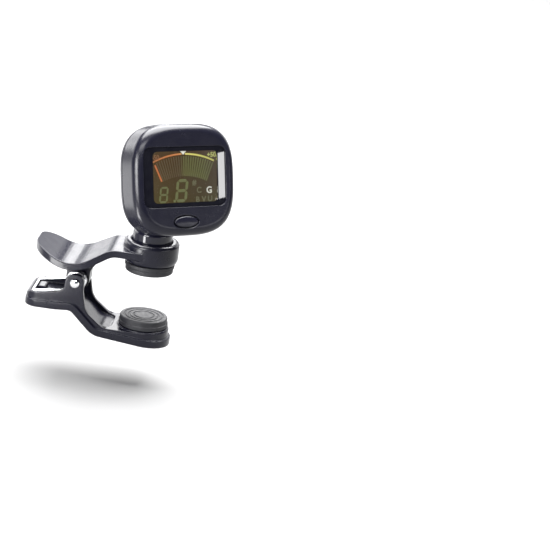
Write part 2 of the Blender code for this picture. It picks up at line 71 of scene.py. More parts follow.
MM = 0.001
MERGE = 0.000004                  # metres
ARC_STEP = math.radians(6)
WORLD = Matrix.Identity(4)


# ---------------------------------------------------------------- frames
def axes(x_axis, y_axis, z_axis):
    return Matrix((x_axis, y_axis, z_axis)).transposed().to_4x4()


def move(x, y, z):
    return Matrix.Translation((x * MM, y * MM, z * MM))


JOINTS = {joint["name"]: joint for joint in frame["joints"]}


def centre_of(node):
    low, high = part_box(node)
    return (low + high) / 2


PIN = centre_of("pivot_pin")
PIN_X, PIN_Z = PIN.x / MM, PIN.z / MM
PIN_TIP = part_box("pivot_pin")[0].y / MM
U_AXIS = -Vector(JOINTS["head_tilt"]["axis"]).normalized()
N_AXIS = -Vector(JOINTS["battery_door_turn"]["axis"]).normalized()
V_AXIS = N_AXIS.cross(U_AXIS)
TILT_Z = JOINTS["head_tilt"]["pos_m"][2] / MM
SIDE = axes((1, 0, 0), (0, 0, 1), (0, -1, 0))     # outline in X and Z, thickness along Y
ACROSS = axes((0, 1, 0), (0, 0, 1), (1, 0, 0))    # outline in Y and Z, thickness along X
COLUMN = axes(U_AXIS, Vector((0, 0, 1)).cross(U_AXIS), (0, 0, 1))
TILT = move(0, 0, TILT_Z) @ axes(U_AXIS, V_AXIS, N_AXIS)
FACE_UP, FACE_OUT = 11.85, 20.9           # centre of the face from the tilt axis
FACE = TILT @ move(0, FACE_UP, FACE_OUT)
DOOR = FACE @ move(0, 4.0, 0)
BUTTON = FACE @ move(0, -13.4, 0)

HEAD_HALF_WIDTH, HEAD_HALF_HEIGHT, HEAD_POWER, HEAD_DEPTH = 18.5, 18.0, 3.15, 12.0
HEAD_U = 0.5                      # the casing's outline sits a little beside the column
EDGE_RADIUS = 3.0                 # rim of the face
PARTING = -9.0                    # depth of the joint between the two shells
SCREW_PLACES = ((9.5, 13.6), (-9.5, 13.6), (10.5, -13.0), (-10.5, -13.0))
WINDOW_V = 1.0                    # centre of the display above the face's centre
LENS_HALF_WIDTH, LENS_HALF_HEIGHT = 14.8, 9.4
GLASS_HALF_WIDTH, GLASS_HALF_HEIGHT = 11.7, 8.2
FACET_WIDTH, FACET_DROP = 3.4, 0.47       # ground sides of the lens
FACET_ANGLE = math.atan(FACET_DROP / FACET_WIDTH)
LCD_TOP = -2.3
ARC_U, ARC_V = 0.6, -18.7         # centre of the display's meter scale

BORE_RADIUS = 1.4                 # holes of the pivot and of the tilt hinge
COLLAR_TOP, COLLAR_RADIUS = 10.67, 9.15
COLUMN_RADIUS = 6.6
PAD_RADIUS = 8.25
TRAY_Z = -11.6                    # floor of the handle's channel
WIRE_RADIUS, COIL_RADIUS = 0.5, 2.8


# ---------------------------------------------------------------- outlines
def rounded(corners):
    """Closed outline through (x, y, radius) corners, with an arc at each rounded one."""
    points = []
    for index, (x, y, radius) in enumerate(corners):
        corner = Vector((x, y))
        if not radius:
            points.append(corner)
            continue
        before = (Vector(corners[index - 1][:2]) - corner).normalized()
        after = (Vector(corners[(index + 1) % len(corners)][:2]) - corner).normalized()
        half = before.angle(after) / 2
        centre = corner + (before + after).normalized() * (radius / math.sin(half))
        start = corner + before * (radius / math.tan(half)) - centre
        turn = math.pi - 2 * half
        if before.x * after.y - before.y * after.x > 0:
            turn = -turn
        steps = max(2, math.ceil(abs(turn) / ARC_STEP))
        points += [centre + start @ Matrix.Rotation(-turn * step / steps, 2)
                   for step in range(steps + 1)]
    return points


def rectangle(half_x, half_y, radius, y=0.0):
    return rounded([(-half_x, y - half_y, radius), (half_x, y - half_y, radius),
                    (half_x, y + half_y, radius), (-half_x, y + half_y, radius)])


def superellipse(half_x, half_y, power, steps=144):
    points = []
    for step in range(steps):
        angle = 2 * math.pi * step / steps
        cosine, sine = math.cos(angle), math.sin(angle)
        points.append(Vector((math.copysign(half_x * abs(cosine) ** (2 / power), cosine),
                              math.copysign(half_y * abs(sine) ** (2 / power), sine))))
    return points


def circle(radius, steps=96):
    return [Vector((radius * math.cos(2 * math.pi * step / steps),
                    radius * math.sin(2 * math.pi * step / steps))) for step in range(steps)]


def inset(points, distance):
    """Outline moved inwards along its normals; it runs anticlockwise or clockwise."""
    area = sum(a.x * b.y - b.x * a.y for a, b in zip(points, points[1:] + points[:1]))
    side = 1 if area > 0 else -1
    moved = []
    for index, point in enumerate(points):
        first = (point - points[index - 1])
        second = (points[(index + 1) % len(points)] - point)
        first = first.normalized() if first.length > 1e-6 else second.normalized()
        second = second.normalized() if second.length > 1e-6 else first
        normal = Vector((-first.y - second.y, first.x + second.x)).normalized() * side
        stretch = max(0.5, math.sqrt(max(0.0, (1 + first.dot(second)) / 2)))
        moved.append(point + normal * (distance / stretch))
    return moved


def band(corners, thickness):
    """Outline of a strip: a path with rounded corners is its upper side."""
    upper = rounded(corners)
    lower = []
    for index, point in enumerate(upper):
        ahead = upper[min(index + 1, len(upper) - 1)] - upper[max(index - 1, 0)]
        lower.append(point + Vector((ahead.y, -ahead.x)).normalized() * thickness)
    return upper + lower[::-1]


# ---------------------------------------------------------------- making meshes
def from_bmesh(name, work, place, sharp=40):
    bmesh.ops.remove_doubles(work, verts=work.verts, dist=MERGE)
    bmesh.ops.recalc_face_normals(work, faces=work.faces)
    mesh = bpy.data.meshes.new(name)
    work.to_mesh(mesh)
    work.free()
    made = bpy.data.objects.new(name, mesh)
    made.matrix_world = place
    bpy.context.scene.collection.objects.link(made)
    mesh.shade_smooth()
    mesh.set_sharp_from_angle(angle=math.radians(sharp))
    bpy.context.view_layer.update()
    return made


def loft(name, rings, place=WORLD):
    """Closed solid through (outline, height) rings with equal numbers of points."""
    work = bmesh.new()
    made = [[work.verts.new((x * MM, y * MM, height * MM)) for x, y in outline]
            for outline, height in rings]
    for low, high in zip(made, made[1:]):
        for index in range(len(low)):
            after = (index + 1) % len(low)
            work.faces.new((low[index], low[after], high[after], high[index]))
    work.faces.new(made[0][::-1])
    work.faces.new(made[-1])
    return from_bmesh(name, work, place)


def rimmed(name, outline_at, low, high, low_round, high_round, place, steps):
    """Solid with rounded rims; outline_at gives its outline at a depth in from the side."""
    rings = []
    for radius, height, way in ((low_round, low, 1), (high_round, high, -1)):
        turn = []
        for step in range(steps + 1 if radius else 1):
            angle = math.pi / 2 * step / steps
            turn.append((outline_at(radius * (1 - math.sin(angle))),
                         height + way * radius * (1 - math.cos(angle))))
        rings += turn if way > 0 else turn[::-1]
    return loft(name, rings, place)


def slab(name, outline, low, high, place=WORLD, low_round=0.0, high_round=0.0, steps=6):
    """Outline with thickness, its rims rounded where asked."""
    return rimmed(name, lambda depth: inset(outline, depth) if depth else outline,
                  low, high, low_round, high_round, place, steps)


def turned(name, profile, place=WORLD, steps=96):
    """Turned piece through (radius, height) points, closed on its axis or as a ring."""
    work = bmesh.new()
    rows = []
    for radius, height in profile:
        if radius < 1e-6:
            rows.append([work.verts.new((0, 0, height * MM))])
        else:
            rows.append([work.verts.new((radius * MM * math.cos(2 * math.pi * step / steps),
                                         radius * MM * math.sin(2 * math.pi * step / steps),
                                         height * MM)) for step in range(steps)])
    pairs = list(zip(rows, rows[1:]))
    if profile[0][0] > 1e-6 and profile[-1][0] > 1e-6:
        pairs.append((rows[-1], rows[0]))
    for upper, lower in pairs:
        for step in range(steps):
            after = (step + 1) % steps
            corners = [upper[step % len(upper)], upper[after % len(upper)],
                       lower[after % len(lower)], lower[step % len(lower)]]
            corners = [c for index, c in enumerate(corners) if c not in corners[:index]]
            if len(corners) > 2:
                work.faces.new(corners)
    return from_bmesh(name, work, place)


def fillet(corners, radius, steps=5):
    """Turned profile with its inner corners rounded."""
    points = [Vector(corners[0])]
    for before, corner, after in zip(corners, corners[1:], corners[2:]):
        corner = Vector(corner)
        back, ahead = Vector(before) - corner, Vector(after) - corner
        reach = min(radius, back.length * 0.45, ahead.length * 0.45)
        start, end = corner + back.normalized() * reach, corner + ahead.normalized() * reach
        for step in range(steps + 1):
            share = step / steps
            points.append(start.lerp(corner, share).lerp(corner.lerp(end, share), share))
    points.append(Vector(corners[-1]))
    return [(point.x, point.y) for point in points]


def tube(name, path, radius, sides=20):
    """Round wire through points, with closed and slightly rounded ends."""
    points = [Vector(point) for point in path]
    work = bmesh.new()
    rows = []
    side = None
    for index, point in enumerate(points):
        ahead = (points[min(index + 1, len(points) - 1)] - points[max(index - 1, 0)]).normalized()
        if side is None:
            side = ahead.orthogonal().normalized()
        side = (side - ahead * side.dot(ahead)).normalized()
        other = ahead.cross(side)
        at_end = index in (0, len(points) - 1)
        rings = [(0.72, 0.0), (1.0, 0.28)] if at_end else [(1.0, 0.0)]
        if index:
            rings = [(size, -shift) for size, shift in rings[::-1]]
        for size, shift in rings:
            middle = point + ahead * (shift * radius)
            rows.append([work.verts.new((middle + (side * math.cos(2 * math.pi * k / sides)
                                                   + other * math.sin(2 * math.pi * k / sides))
                                         * radius * size) * MM) for k in range(sides)])
    for low, high in zip(rows, rows[1:]):
        for k in range(sides):
            after = (k + 1) % sides
            work.faces.new((low[k], low[after], high[after], high[k]))
    work.faces.new(rows[0][::-1])
    work.faces.new(rows[-1])
    return from_bmesh(name, work, WORLD, 60)


def curved(points, times=3):
    """Path with its corners cut, so that it runs smoothly."""
    path = [Vector(point) for point in points]
    for _ in range(times):
        cut_path = [path[0]]
        for a, b in zip(path, path[1:]):
            cut_path += [a.lerp(b, 0.25), a.lerp(b, 0.75)]
        path = cut_path + [path[-1]]
    return path


def settle(piece):
    """Apply the piece's modifiers."""
    graph = bpy.context.evaluated_depsgraph_get()
    mesh = bpy.data.meshes.new_from_object(piece.evaluated_get(graph))
    piece.modifiers.clear()
    piece.data = mesh
    return piece


def combine(piece, operation, *tools):
    for tool in tools:
        step = piece.modifiers.new(operation, "BOOLEAN")
        step.operation = operation
        step.object = tool
        step.solver = "EXACT"
        bpy.context.view_layer.update()
        settle(piece)
        bpy.data.objects.remove(tool)
    return piece


def join(piece, *tools):
    return combine(piece, "UNION", *tools)


def cut(piece, *tools):
    return combine(piece, "DIFFERENCE", *tools)


def crisp(piece, angle=32):
    """Flat faces keep their own normals, and edges sharper than the angle stay sharp."""
    piece.data.shade_smooth()
    piece.data.set_sharp_from_angle(angle=math.radians(angle))
    weigh = piece.modifiers.new("Weigh", "WEIGHTED_NORMAL")
    weigh.keep_sharp = True
    return piece


def moulded(piece, voxel, rounds):
    """One skin over the piece, with its edges and inner corners softened."""
    remesh = piece.modifiers.new("Skin", "REMESH")
    remesh.mode = "VOXEL"
    remesh.voxel_size = voxel * MM
    smooth = piece.modifiers.new("Soften", "SMOOTH")
    smooth.factor = 0.5
    smooth.iterations = rounds
    settle(piece)
    piece.data.shade_smooth()
    return piece


def gather(piece, *others):
    """Put other solids into the piece's mesh."""
    work = bmesh.new()
    for source in (piece, *others):
        copy = source.data.copy()
        copy.transform(piece.matrix_world.inverted() @ source.matrix_world)
        work.from_mesh(copy)
        bpy.data.meshes.remove(copy)
    work.to_mesh(piece.data)
    work.free()
    for other in others:
        bpy.data.objects.remove(other)
    return piece


# ---------------------------------------------------------------- materials
class Look:
    """Builds a procedural material around one Principled shader."""

    def __init__(self, name, colour, roughness, metallic=0.0):
        self.material = bpy.data.materials.new(name)
        self.material.use_nodes = True
        self.tree = self.material.node_tree
        self.shader = self.tree.nodes["Principled BSDF"]
        self.set("Base Color", (*colour, 1.0))
        self.set("Roughness", roughness)
        self.set("Metallic", metallic)
        self.place = self.node("ShaderNodeTexCoord").outputs["Object"]

    def set(self, socket, value):
        self.shader.inputs[socket].default_value = value
        return self

    def node(self, kind, **values):
        made = self.tree.nodes.new(kind)
        for key, value in values.items():
            if hasattr(made, key) and key not in made.inputs:
                setattr(made, key, value)
            else:
                made.inputs[key.replace("_", " ")].default_value = value
        return made

    def link(self, a, b):
        self.tree.links.new(a, b)

    def along(self, axis, low, high):
        """Share of the way along an axis of the head's face, from low to high millimetres."""
        dot = self.node("ShaderNodeVectorMath", operation="DOT_PRODUCT")
        dot.inputs[1].default_value = axis
        self.link(self.place, dot.inputs[0])
        start = FACE.translation.dot(axis)
        share = self.node("ShaderNodeMapRange")
        share.inputs["From Min"].default_value = start + low * MM
        share.inputs["From Max"].default_value = start + high * MM
        self.link(dot.outputs["Value"], share.inputs["Value"])
        return share.outputs["Result"]

    def stretched(self, x, y, z):
        mapping = self.node("ShaderNodeMapping")
        mapping.inputs["Scale"].default_value = (x, y, z)
        self.link(self.place, mapping.inputs["Vector"])
        return mapping.outputs["Vector"]

    def noise(self, size_mm, detail=3.0, place=None):
        """Noise whose features are about this size."""
        made = self.node("ShaderNodeTexNoise", Scale=1 / (size_mm * MM), Detail=detail)
        self.link(place or self.place, made.inputs["Vector"])
        return made.outputs["Fac"]

    def ramp(self, factor, *stops):
        made = self.node("ShaderNodeValToRGB")
        elements = made.color_ramp.elements
        while len(elements) < len(stops):
            elements.new(0.5)
        for element, (position, colour) in zip(elements, stops):
            element.position = position
            element.color = (*colour, 1.0)
        self.link(factor, made.inputs["Fac"])
        return made.outputs["Color"]

    def spread(self, factor, low, high):
        made = self.node("ShaderNodeMapRange")
        made.inputs["From Min"].default_value = 0.3
        made.inputs["From Max"].default_value = 0.7
        made.inputs["To Min"].default_value = low
        made.inputs["To Max"].default_value = high
        self.link(factor, made.inputs["Value"])
        return made.outputs["Result"]

    def colours(self, factor, dark, light):
        self.link(self.ramp(factor, (0.3, dark), (0.7, light)), self.shader.inputs["Base Color"])
        return self

    def rough(self, factor, low, high):
        self.link(self.spread(factor, low, high), self.shader.inputs["Roughness"])
        return self

    def bump(self, height, depth_mm, strength=1.0):
        made = self.node("ShaderNodeBump", Strength=strength, Distance=depth_mm * MM)
        self.link(height, made.inputs["Height"])
        before = self.shader.inputs["Normal"].links
        if before:
            self.link(before[0].from_socket, made.inputs["Normal"])
        self.link(made.outputs["Normal"], self.shader.inputs["Normal"])
        return self


def plastic(name, dark, light, roughness, grain=0.004, specular=0.5):
    """Moulded plastic: fine spark grain, faint flow clouds and handling haze."""
    look = Look(name, dark, sum(roughness) / 2)
    look.colours(look.noise(6.0, 2.0), dark, light)
    look.rough(look.noise(3.5, 5.0), *roughness)
    look.bump(look.noise(0.16, 2.0), grain)
    return look.set("IOR", 1.5).set("Specular IOR Level", specular).material


def metal(name, colour, roughness, grain=(1, 1, 1), depth=0.002):
    """Metal with fine drawn or brushed lines along the less stretched axes."""
    look = Look(name, colour, roughness, 1.0)
    light = tuple(min(1.0, channel * 1.12) for channel in colour)
    look.colours(look.noise(2.0, 4.0), colour, light)
    place = look.stretched(*grain)
    look.rough(look.noise(0.8, 4.0, place), roughness * 0.7, roughness * 1.4)
    look.bump(look.noise(0.25, 3.0, place), depth)
    return look.material


SATIN = plastic("satin_plastic", (0.0038, 0.0038, 0.0082), (0.0052, 0.0052, 0.0100), (0.22, 0.28),
                specular=0.27)
GLOSS = plastic("gloss_plastic", (0.003, 0.003, 0.007), (0.005, 0.005, 0.011), (0.09, 0.14), 0.001,
                0.4)
INNER = plastic("inner_plastic", (0.016, 0.016, 0.017), (0.024, 0.024, 0.025), (0.45, 0.6), 0.01)
CHROME = metal("chrome", (0.78, 0.78, 0.80), 0.07, depth=0.0005)
STEEL = metal("steel", (0.56, 0.56, 0.58), 0.28, (1, 1, 6))
SPRING = metal("spring_steel", (0.66, 0.66, 0.68), 0.20, (1, 6, 1))
BRASS = metal("brass", (0.72, 0.52, 0.24), 0.30, (6, 1, 1))


def rubber_look():
    look = Look("rubber", (0.007, 0.007, 0.010), 0.7)
    look.colours(look.noise(2.5, 4.0), (0.004, 0.004, 0.006), (0.010, 0.010, 0.013))
    look.rough(look.noise(1.2, 4.0), 0.48, 0.68)
    look.bump(look.noise(0.22, 3.0), 0.012)
    return look.set("Specular IOR Level", 0.4).material


def nylon_look():
    look = Look("nylon", (0.7, 0.69, 0.64), 0.45)
    look.colours(look.noise(1.5, 3.0), (0.62, 0.61, 0.56), (0.76, 0.75, 0.70))
    look.rough(look.noise(0.8, 3.0), 0.38, 0.55)
    look.bump(look.noise(0.2, 2.0), 0.004)
    return look.set("Subsurface Weight", 0.1).material


def board_look():
    """Solder mask with lighter copper tracks under it."""
    look = Look("board", (0.01, 0.1, 0.04), 0.35)
    tracks = look.node("ShaderNodeTexWave", Scale=900.0, Distortion=6.0)
    look.link(look.place, tracks.inputs["Vector"])
    look.colours(tracks.outputs["Fac"], (0.006, 0.075, 0.028), (0.02, 0.17, 0.06))
    look.rough(look.noise(1.0, 3.0), 0.3, 0.42)
    look.bump(tracks.outputs["Fac"], 0.02)
    return look.material


def guide_look():
    look = Look("light_guide", (0.82, 0.82, 0.76), 0.2)
    look.colours(look.noise(2.0, 3.0), (0.74, 0.74, 0.68), (0.88, 0.88, 0.82))
    look.rough(look.noise(0.7, 3.0), 0.15, 0.3)
    return look.set("Subsurface Weight", 0.2).material


def insulation_look():
    look = Look("insulation", (0.45, 0.03, 0.02), 0.4)
    look.colours(look.noise(1.0, 3.0), (0.36, 0.02, 0.015), (0.52, 0.04, 0.03))
    look.rough(look.noise(0.5, 3.0), 0.35, 0.5)
    return look.material


def lens_look():
    """Clear acrylic window with faint wipe marks."""
    look = Look("lens", (0.86, 0.85, 0.84), 0.01)
    look.rough(look.noise(2.0, 5.0), 0.004, 0.02)
    return look.set("Transmission Weight", 1.0).set("IOR", 1.46).material


def print_look():
    """Polished border of the lens, printed black behind."""
    look = Look("lens_print", (0.003, 0.003, 0.005), 0.02)
    look.colours(look.noise(3.0, 3.0), (0.002, 0.002, 0.004), (0.004, 0.004, 0.006))
    look.rough(look.noise(2.0, 5.0), 0.008, 0.024)
    return look.set("IOR", 1.49).material


def lcd_look():
    """Backlit liquid crystal: olive at the bottom and left, browner and greyer to the right."""
    look = Look("lcd", (0.02, 0.015, 0.01), 0.12)
    sideways = look.ramp(look.along(U_AXIS, -12.5, 13.0), (0.0, (0.085, 0.058, 0.024)),
                         (0.35, (0.068, 0.042, 0.014)), (0.75, (0.066, 0.046, 0.028)),
                         (1.0, (0.090, 0.072, 0.058)))
    rising = look.ramp(look.along(V_AXIS, WINDOW_V - 9.0, WINDOW_V + 9.0),
                       (0.0, (0.95, 1.1, 0.7)), (0.3, (0.9, 0.95, 0.75)),
                       (0.8, (1.0, 0.95, 0.95)), (1.0, (1.15, 1.1, 1.1)))
    blend = look.node("ShaderNodeMix", data_type="RGBA", blend_type="MULTIPLY")
    blend.inputs["Factor"].default_value = 1.0
    look.link(sideways, blend.inputs[6])
    look.link(rising, blend.inputs[7])
    look.link(blend.outputs[2], look.shader.inputs["Emission Color"])
    look.rough(look.noise(2.0, 3.0), 0.08, 0.16)
    return look.set("Emission Strength", 1.0).material


def lit(name, colour, fade=None):
    """Lit or ghosted segment of the display; fade is its colour further right."""
    look = Look(name, tuple(channel * 0.2 for channel in colour), 0.3)
    if fade:
        look.link(look.ramp(look.along(U_AXIS, -11.0, 12.0), *fade),
                  look.shader.inputs["Emission Color"])
    else:
        look.link(look.ramp(look.noise(1.5, 2.0), (0.3, tuple(c * 0.93 for c in colour)),
                            (0.7, colour)), look.shader.inputs["Emission Color"])
    return look.set("Emission Strength", 1.0).material


RUBBER, NYLON, BOARD = rubber_look(), nylon_look(), board_look()
GUIDE, INSULATION, LENS = guide_look(), insulation_look(), lens_look()
PRINT, LCD = print_look(), lcd_look()
SLOTS = {"satin_plastic": SATIN, "gloss_plastic": GLOSS, "inner_plastic": INNER,
         "rubber": RUBBER, "chrome": CHROME, "steel": STEEL, "spring_steel": SPRING,
         "brass": BRASS, "nylon": NYLON, "lens": LENS, "lcd": LCD, "light_guide": GUIDE,
         "board": BOARD, "insulation": INSULATION}


def place_piece(piece, slot, body, *nodes, look=None):
    """Give a piece its material and its body, and hide the CAD nodes it stands for."""
    piece.data.transform(piece.matrix_world)
    piece.matrix_world = WORLD
    piece.data.materials.clear()
    piece.data.materials.append(look or SLOTS[slot])
    if nodes:
        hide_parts(*nodes)
    if body:
        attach(piece, body)
    return piece


# ---------------------------------------------------------------- clip
LEVER_TOP = [(-38.3, 7.0, 0), (-24.5, 0.65, 11.5), (-12.3, 7.95, 8.0), (1.0, 7.8, 0)]
LEVER_PLAN = [(-37.5, 9.8, 8.2), (-27.0, 11.4, 20.0), (-18.8, 11.4, 14.0),
              (-11.2, COLLAR_RADIUS, 14.0), (0.5, 9.0, 0)]
LEVER_THICKNESS = 2.4


def make_upper_lever():
    """Thumb pad and arm in one curved plate, with the pivot's lug and the column's collar."""
    lever = slab("upper_lever", band(LEVER_TOP, LEVER_THICKNESS), -14, 14, SIDE)
    plan = LEVER_PLAN + [(x, -y, radius) for x, y, radius in LEVER_PLAN[::-1]]
    combine(lever, "INTERSECT", slab("lever_plan", rounded(plan), -8, 16))
    lug = [(PIN_X - 7.2, 1.9, 0), (PIN_X - 3.9, -1.6, 3.6), (PIN_X - 3.9, PIN_Z - 3.9, 3.85),
           (PIN_X + 3.9, PIN_Z - 3.9, 3.85), (PIN_X + 3.9, -2.2, 4.0), (PIN_X + 8.2, 4.2, 0),
           (PIN_X + 3.0, 1.2, 0), (PIN_X - 1.0, 0.6, 0), (PIN_X - 4.5, 1.2, 0)]
    collar = fillet([(0, COLLAR_TOP), (8.45, COLLAR_TOP), (COLLAR_RADIUS, 9.95),
                     (COLLAR_RADIUS, 4.9), (8.75, 3.8), (8.3, 3.4), (0, 3.4)], 0.6)
    join(lever, slab("lug", rounded(lug), -3.1, 3.1, SIDE), turned("collar", collar))
    bore = [(0, 14.0), (7.05, 14.0), (7.05, COLLAR_TOP), (6.85, 10.5), (6.85, 7.0), (2.3, 7.0),
            (2.3, 5.6), (4.3, 5.6), (4.3, 2.0), (0, 2.0)]
    pin_hole = slab("pin_hole", circle(BORE_RADIUS, 40), -9, 9, SIDE @ move(PIN_X, PIN_Z, 0))
    cut(lever, turned("bore", bore), pin_hole)
    moulded(lever, 0.17, 5)
    return place_piece(lever, "satin_plastic", "clip_base", "upper_lever")


def make_lower_lever():
    """Channel-shaped handle, ears and jaw on a wider base plate."""
    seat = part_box("lower_pad")[0].z / MM - 0.3
    side = rounded([(-39.0, -14.4, 2.0), (-29.0, -14.3, 8.0), (-23.2, -13.8, 5.0),
                    (-15.2, -21.4, 5.0), (12.0, -24.0, 0), (12.0, seat - 0.4, 0),
                    (-12.4, seat - 0.4, 5.0), (-18.6, -14.6, 6.0), (PIN_X + 3, -8.0, 2.0),
                    (PIN_X + 3, PIN_Z + 3, 2.8), (PIN_X - 3, PIN_Z + 3, 2.8),
                    (-26.3, -7.9, 2.0), (-28.6, -9.1, 2.5), (-39.0, -10.9, 1.2)])
    base = band([(-42.0, -12.8, 0), (-29.0, -12.7, 8.0), (-22.6, -12.2, 5.0),
                 (-14.5, -19.9, 5.0), (12.0, -22.5, 0)], 2.5)
    lever = slab("lower_lever", side, -12, 12, SIDE)
    inside = rounded([(-37.7, -7.0, 2.4), (-10.0, -7.0, 3.0), (-10.0, 7.0, 3.0),
                      (-37.7, 7.0, 2.4)])
    cut(lever, slab("channel", inside, -30, 5))
    combine(lever, "INTERSECT", slab("wall_plan", jaw_plan(8.7, -39.05, 4.2), -30, 5))
    flange = slab("base_plate", base, -14, 14, SIDE)
    combine(flange, "INTERSECT", slab("base_plan", jaw_plan(9.5, -39.3, 4.6), -30, 5))
    rib = rounded([(-38.0, -14.0, 0), (-33.4, -14.0, 0), (-33.4, -10.0, 0.5),
                   (-35.9, -10.0, 0.5), (-35.9, TRAY_Z, 0), (-38.0, TRAY_Z, 0)])
    tray = rounded([(-38.2, -14.0, 0), (-25.0, -14.0, 0), (-27.0, TRAY_Z, 1.5),
                    (-38.2, TRAY_Z, 0)])
    join(lever, flange, slab("pad_seat", circle(8.4), seat - 2.0, seat),
         slab("tray_floor", tray, -7.5, 7.5, SIDE),
         slab("spring_stop", rib, -2.4, 2.4, SIDE))
    cut(lever, slab("ear_bore", circle(BORE_RADIUS, 40), -12, 12, SIDE @ move(PIN_X, PIN_Z, 0)))
    moulded(lever, 0.17, 4)
    return place_piece(lever, "satin_plastic", "lower_jaw", "lower_lever")


def jaw_plan(half_width, end, corner):
    """Plan of the lower lever: a rounded handle end and a half-round nose about the pad."""
    nose = [Vector((half_width * math.cos(angle), half_width * math.sin(angle)))
            for angle in (math.radians(90 - 3 * step) for step in range(61))]
    handle = rounded([(0, -half_width, 0), (end, -half_width, corner),
                      (end, half_width, corner), (0, half_width, 0)])
    return nose + handle[1:-1]


def make_pad(node, body, up):
    """Round rubber pad; shallow rings are moulded into its gripping face."""
    low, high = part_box(node)
    face, back = (low.z, high.z) if up > 0 else (high.z, low.z)
    face, back = face / MM, back / MM
    profile = [(0, back), (PAD_RADIUS, back), (PAD_RADIUS, face + up * 1.9),
               (7.95, face + up * 1.75), (7.95, face + up * 0.3), (7.6, face)]
    for radius in (6.4, 4.9, 3.4):
        profile += [(radius + 0.35, face), (radius + 0.15, face + up * 0.3),
                    (radius - 0.15, face + up * 0.3), (radius - 0.35, face)]
    profile.append((0, face))
    pad = turned(node, fillet(profile, 0.16, 4))
    return place_piece(crisp(pad, 50), "rubber", body, node)


def make_pin():
    """Steel pin through the ears, with a domed head towards the front."""
    under_head, dome_radius, quarter = 8.9, 1.62, math.pi / 2
    dome_height = -PIN_TIP - under_head
    dome = [(dome_radius * math.sin(quarter * step / 10),
             under_head + dome_height * math.cos(quarter * step / 10)) for step in range(11)]
    profile = dome + [(1.55, under_head - 0.02), (1.2, under_head - 0.02),
                      (1.2, -under_head - 0.7), (1.0, -under_head - 0.9), (0, -under_head - 0.9)]
    pin = turned("pivot_pin", profile, SIDE @ move(PIN_X, PIN_Z, 0), 64)
    return place_piece(pin, "chrome", "clip_base", "pivot_pin")


def make_clip_spring():
    """Double torsion spring: two coils on the pin and a cross bar in the handle."""
    inner, outer, steps = 3.95, 6.3, 150
    start, turn = math.radians(100), -math.radians(190 + 2 * 360)

    def on_coil(angle):
        return PIN_X + COIL_RADIUS * math.cos(angle), PIN_Z + COIL_RADIUS * math.sin(angle)

    x, z = on_coil(start)
    bridge = [(x, y, z) for y in (1.9, 2.6, 3.3)]
    coil = []
    for step in range(steps + 1):
        share = step / steps
        x, z = on_coil(start + turn * share)
        coil.append((x, inner + (outer - inner) * share, z))
    bar_x, bar_z = -36.9, -10.75
    leg = curved([coil[-1], (bar_x + 1.5, outer, bar_z + 0.3), (bar_x, outer, bar_z),
                  (bar_x, outer - 1.6, bar_z)], 4)
    bar = [(bar_x, y, bar_z) for y in (4.7, 3.5, 2.0, 0.7)]
    half = bridge + coil + [tuple(point) for point in leg[1:-1]] + bar
    path = half + [(x, -y, z) for x, y, z in half[::-1]]
    spring = tube("clip_spring", path, WIRE_RADIUS)
    spring.data.materials.append(SPRING)
    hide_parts("clip_spring")
    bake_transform(spring)
    return spring


# ---------------------------------------------------------------- neck
def make_column():
    """Turned post with a fork of two cheeks for the tilting hinge."""
    profile = fillet([(0, 14.4), (6.0, 14.4), (COLUMN_RADIUS, 13.7), (COLUMN_RADIUS, 8.0),
                      (2.0, 8.0), (2.0, 5.5), (0, 5.5)], 0.5)
    column = turned("swivel_column", profile, COLUMN)
    cheek = rounded([(-3.6, 13.0, 0), (3.6, 13.0, 0), (3.6, TILT_Z + 3.6, 3.55),
                     (-3.6, TILT_Z + 3.6, 3.55)])
    cheeks = [slab(f"cheek_{side}", cheek, *sorted((side * 3.35, side * 5.4)), COLUMN @ ACROSS,
                   0.35, 0.35, 4) for side in (1, -1)]
    join(column, *cheeks)
    fork = COLUMN @ ACROSS @ move(0, TILT_Z, 0)
    cut(column, slab("fork_bore", circle(BORE_RADIUS, 40), -9, 9, fork))
    return place_piece(crisp(column), "gloss_plastic", "column", "swivel_column")


# ---------------------------------------------------------------- head
def head_outline(back=0.0):
    outline = superellipse(HEAD_HALF_WIDTH - back, HEAD_HALF_HEIGHT - back, HEAD_POWER)
    return [Vector((point.x + HEAD_U, point.y)) for point in outline]


def head_solid(name, low, high, low_round, high_round):
    """Body of a casing with rounded rims."""
    return rimmed(name, head_outline, low, high, low_round, high_round, FACE, 12)


def pocket(name, outline, floor, place, lip=0.25, reach=1.0):
    """Cutter for a recess whose upper edge is softly rounded."""
    rings = [(outline, floor)]
    for step in range(5):
        angle = math.pi / 2 * step / 4
        rings.append((inset(outline, -lip * (1 - math.cos(angle))),
                      -lip * (1 - math.sin(angle))))
    rings.append((inset(outline, -lip), reach))
    return loft(name, rings, place)


def make_front_shell():
    """Front half of the casing, recessed for the lens and opened for display and button."""
    shell = head_solid("front_shell", PARTING, 0.0, 0.2, EDGE_RADIUS)
    hollow = loft("front_hollow", [(head_outline(1.4), -20), (head_outline(1.4), -2.0)], FACE)
    cut(shell, hollow,
        pocket("lens_recess", rectangle(15.0, 9.6, 2.4, WINDOW_V), -1.0, FACE, 0.18),
        slab("window", rectangle(12.6, 8.9, 1.6, WINDOW_V), -5, 2, FACE),
        pocket("button_hole", superellipse(4.6, 2.1, 2.0, 96), -5, BUTTON, 0.35))
    return place_piece(crisp(shell, 30), "satin_plastic", "head", "front_shell")


